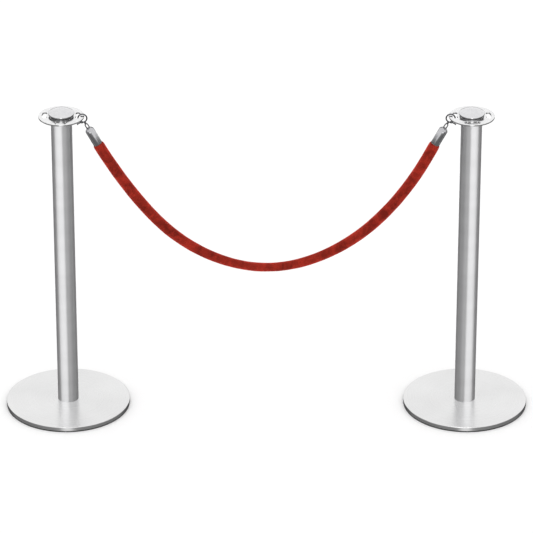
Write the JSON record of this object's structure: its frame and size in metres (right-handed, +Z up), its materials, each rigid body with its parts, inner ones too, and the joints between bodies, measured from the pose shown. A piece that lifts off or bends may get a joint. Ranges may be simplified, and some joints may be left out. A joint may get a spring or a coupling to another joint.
{
  "type": "rope barrier post set",
  "caption": "Free-standing steel barrier posts on disc bases, with slotted top plates and domed caps, joined by a velvet rope with spring snap hooks.",
  "frame": {"origin": "on the floor, midway between the two post axes", "axes": "+X along the line of the posts, from the left post to the right post; +Y from the front to the back; +Z up"},
  "size_m": [1.5198, 0.36, 0.9457],
  "materials": {
    "brushed_steel": "stainless steel, belt-ground round the tube",
    "polished_steel": "bright satin-polished stainless steel, turned in circles",
    "plate_steel": "polished stainless steel",
    "cap_steel": "mirror-polished stainless steel",
    "plain_steel": "bare turned steel, hidden",
    "cast_iron": "rough black-painted casting, hidden under the cover",
    "black_rubber": "matt black moulded rubber",
    "zinc_steel": "zinc-plated steel",
    "black_nylon": "black nylon",
    "hook_chrome": "chrome-plated steel wire and casting",
    "ferrule_chrome": "chrome-plated brass",
    "pin_steel": "polished steel",
    "spring_steel": "bare spring wire",
    "red_velvet": "brick-red velvet with a short pile",
    "cotton_core": "twisted cotton, hidden"
  },
  "bodies": {
    "posts": {"left_floor_ring": "black_rubber", "left_base_weight": "cast_iron", "left_base_cover": "polished_steel", "left_base_washer": "zinc_steel", "left_base_bolt": "zinc_steel", "left_tube_foot": "plain_steel", "left_tube": "brushed_steel", "left_tube_head": "plain_steel", "left_top_plate": "plate_steel", "right_floor_ring": "black_rubber", "right_base_weight": "cast_iron", "right_base_cover": "polished_steel", "right_base_washer": "zinc_steel", "right_base_bolt": "zinc_steel", "right_tube_foot": "plain_steel", "right_tube": "brushed_steel", "right_tube_head": "plain_steel", "right_top_plate": "plate_steel"},
    "rope": {"rope_core": "cotton_core", "rope_sleeve": "red_velvet", "left_ferrule": "ferrule_chrome", "left_ferrule_pin": "pin_steel", "left_rope_screw": "pin_steel", "right_ferrule": "ferrule_chrome", "right_ferrule_pin": "pin_steel", "right_rope_screw": "pin_steel"},
    "left_snap_hook": {"left_hook": "hook_chrome", "left_gate_pin": "pin_steel", "left_gate_spring": "spring_steel"},
    "left_snap_gate": {"left_gate": "hook_chrome"},
    "left_cap_seat": {"left_cap_washer": "black_nylon"},
    "left_cap": {"left_dome_cap": "cap_steel"},
    "right_snap_hook": {"right_hook": "hook_chrome", "right_gate_pin": "pin_steel", "right_gate_spring": "spring_steel"},
    "right_snap_gate": {"right_gate": "hook_chrome"},
    "right_cap_seat": {"right_cap_washer": "black_nylon"},
    "right_cap": {"right_dome_cap": "cap_steel"}
  },
  "joints": [
    {"name": "rope_swing", "type": "hinge", "parent": "posts", "child": "rope", "pos_m": [0, 0, 0.9271], "axis": [1, 0, 0], "range_deg": [-35, 35]},
    {"name": "left_hook_pivot", "type": "hinge", "parent": "rope", "child": "left_snap_hook", "pos_m": [-0.49876, 0, 0.87564], "axis": [0, 1, 0], "range_deg": [0, 1.5]},
    {"name": "left_gate_open", "type": "hinge", "parent": "left_snap_hook", "child": "left_snap_gate", "pos_m": [-0.52327, 0, 0.9041], "axis": [0, 1, 0], "range_deg": [0, 17], "stiffness_Nm_per_rad": 0.02, "springref_deg": -22.92},
    {"name": "left_cap_lift", "type": "slide", "parent": "posts", "child": "left_cap_seat", "axis": [0, 0, 1], "range_m": [0, 0.01201]},
    {"name": "left_cap_turn", "type": "hinge", "parent": "left_cap_seat", "child": "left_cap", "pos_m": [-0.58, 0, 0.925], "axis": [0, 0, 1], "range_deg": [0, 2880]},
    {"name": "right_hook_pivot", "type": "hinge", "parent": "rope", "child": "right_snap_hook", "pos_m": [0.49876, 0, 0.87564], "axis": [0, -1, 0], "range_deg": [0, 1.5]},
    {"name": "right_gate_open", "type": "hinge", "parent": "right_snap_hook", "child": "right_snap_gate", "pos_m": [0.52327, 0, 0.9041], "axis": [0, -1, 0], "range_deg": [0, 17], "stiffness_Nm_per_rad": 0.02, "springref_deg": -22.92},
    {"name": "right_cap_lift", "type": "slide", "parent": "posts", "child": "right_cap_seat", "axis": [0, 0, 1], "range_m": [0, 0.01201]},
    {"name": "right_cap_turn", "type": "hinge", "parent": "right_cap_seat", "child": "right_cap", "pos_m": [0.58, 0, 0.925], "axis": [0, 0, 1], "range_deg": [0, 2880]}
  ],
  "couplings": [
    {"joint": "left_cap_lift", "follows": "left_cap_turn", "m_per_rad": 0.00023873},
    {"joint": "right_cap_lift", "follows": "right_cap_turn", "m_per_rad": 0.00023873}
  ]
}
